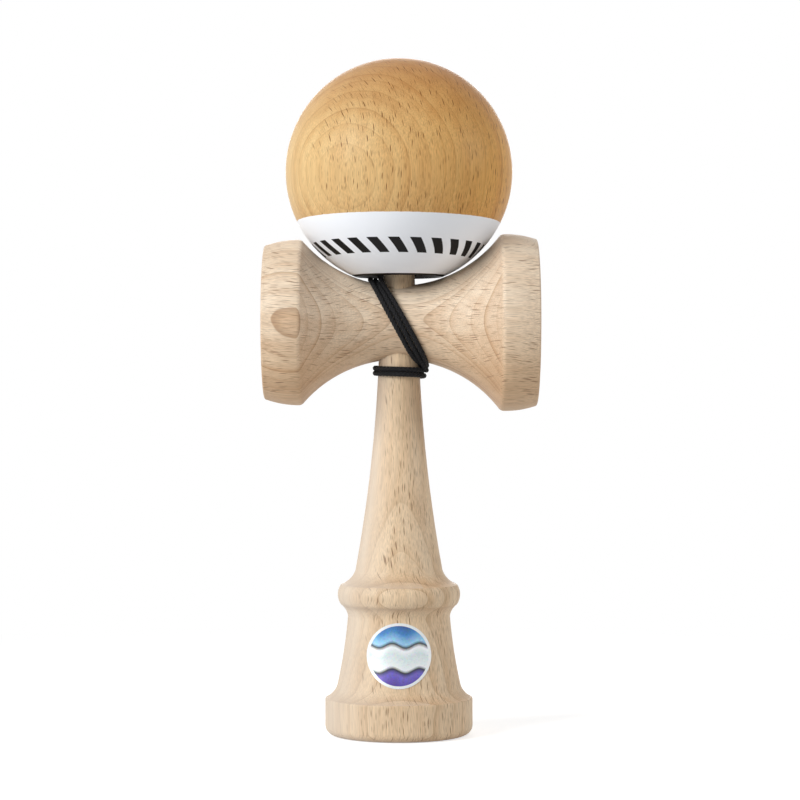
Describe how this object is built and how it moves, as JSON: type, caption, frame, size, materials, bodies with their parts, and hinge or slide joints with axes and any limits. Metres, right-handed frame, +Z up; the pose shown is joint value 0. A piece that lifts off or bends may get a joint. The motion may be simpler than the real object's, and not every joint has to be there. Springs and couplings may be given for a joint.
{
  "type": "kendama",
  "caption": "Wooden cup-and-ball toy: a turned handle with a spike and base cup, a crosspiece with a cup at each end, and a drilled ball tied on with black string.",
  "frame": {"origin": "centre of the base's rim, on the surface that the toy stands on", "axes": "+Z up the handle to the ball, +X along the crosspiece to the large cup, -Y to the side with the label"},
  "size_m": [0.0721, 0.06, 0.1786],
  "materials": {
    "raw_beech": "sanded, no lacquer",
    "raw_beech_crosspiece": "sanded, no lacquer",
    "lacquered_beech": "clear lacquer above, satin white paint below",
    "bead_wood": "plain",
    "label_foil": "printed foil",
    "string": "braided"
  },
  "bodies": {
    "handle": {"ken": "raw_beech", "label": "label_foil", "string_winding": "string"},
    "crosspiece": {"sarado": "raw_beech_crosspiece", "sarado_knot": "string"},
    "string_end": {"bead": "bead_wood", "string_tail": "string", "crown_knot": "string"},
    "ball": {"tama": "lacquered_beech"}
  },
  "joints": [
    {"name": "sarado_pull", "type": "slide", "parent": "handle", "child": "crosspiece", "axis": [0, 0, 1], "range_m": [0, 0.06], "deforming": ["string_winding"]},
    {"name": "tama_lift", "type": "slide", "parent": "crosspiece", "child": "string_end", "axis": [0, 0, 1], "range_m": [0, 0.06], "deforming": ["string_tail"]},
    {"name": "tama_spin", "type": "hinge", "parent": "string_end", "child": "ball", "pos_m": [0, 0, 0.1487], "axis": [0, 0, 1], "continuous": true}
  ]
}
